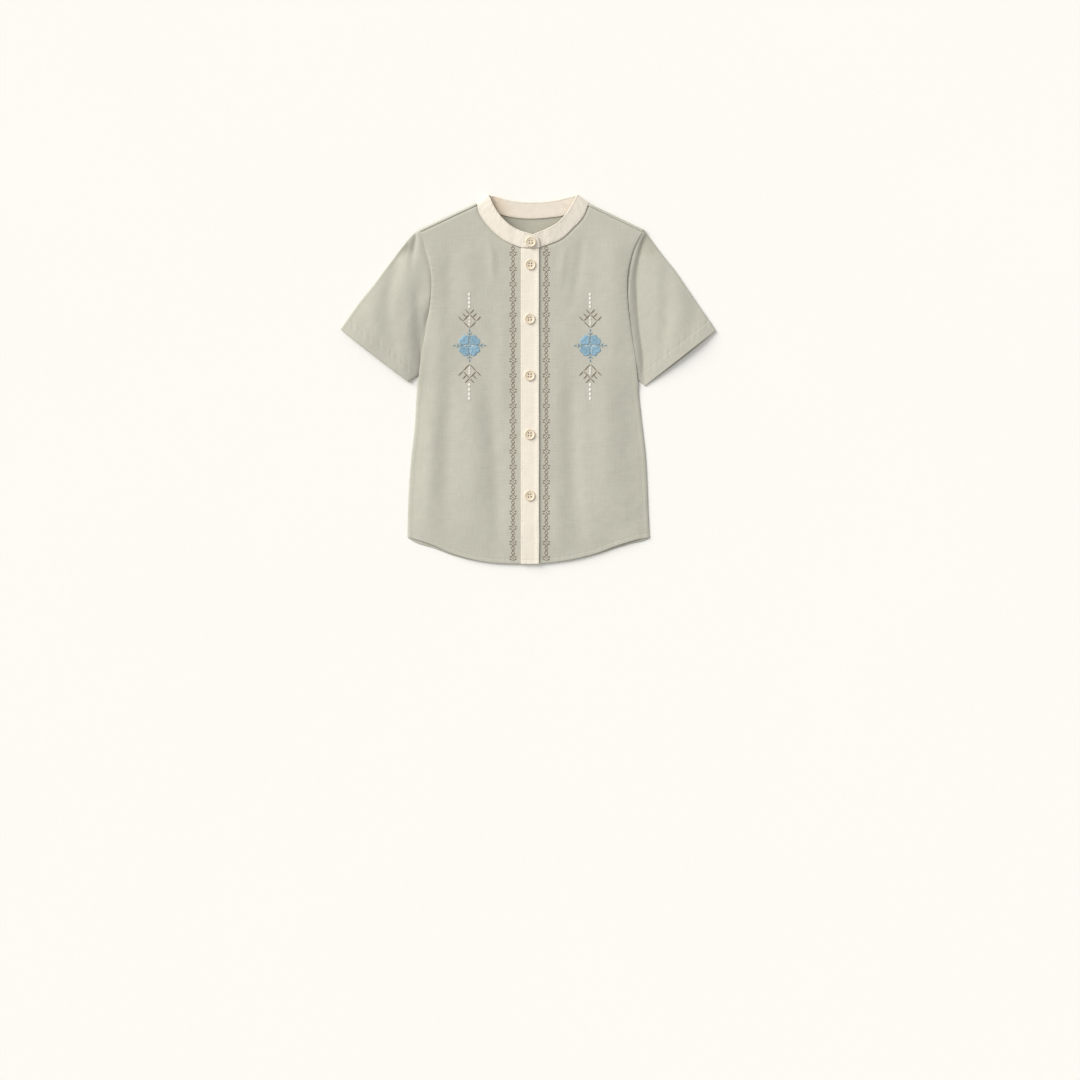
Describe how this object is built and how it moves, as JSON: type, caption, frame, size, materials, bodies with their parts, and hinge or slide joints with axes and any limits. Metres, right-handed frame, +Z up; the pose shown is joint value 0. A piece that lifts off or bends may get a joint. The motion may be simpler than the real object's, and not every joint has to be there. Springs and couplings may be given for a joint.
{
  "type": "child's short-sleeved kurta shirt, laid flat",
  "caption": "Laid-flat child's kurta shirt with a band collar, short sleeves, a buttoned full-length placket and a curved shirt-tail hem.",
  "frame": {"origin": "on the surface that the kurta lies on, under the middle of its bounding box", "axes": "+Z up from the surface, +Y towards the collar, +X towards the wearer's left sleeve"},
  "size_m": [0.5646, 0.554, 0.0142],
  "materials": {
    "sage_cloth": "sage-grey plain-weave cotton and linen, matt",
    "cream_cloth": "cream plain-weave cotton, matt",
    "button_resin": "cream resin, satin",
    "embroidery_thread": "stranded cotton thread, soft sheen"
  },
  "bodies": {
    "root": {"back": "sage_cloth", "right_front": "sage_cloth", "left_front": "sage_cloth", "right_sleeve": "sage_cloth", "left_sleeve": "sage_cloth", "collar": "cream_cloth", "placket": "cream_cloth", "button_stand": "cream_cloth", "button_1": "button_resin", "button_2": "button_resin", "button_3": "button_resin", "button_4": "button_resin", "button_5": "button_resin", "button_6": "button_resin"}
  },
  "joints": []
}
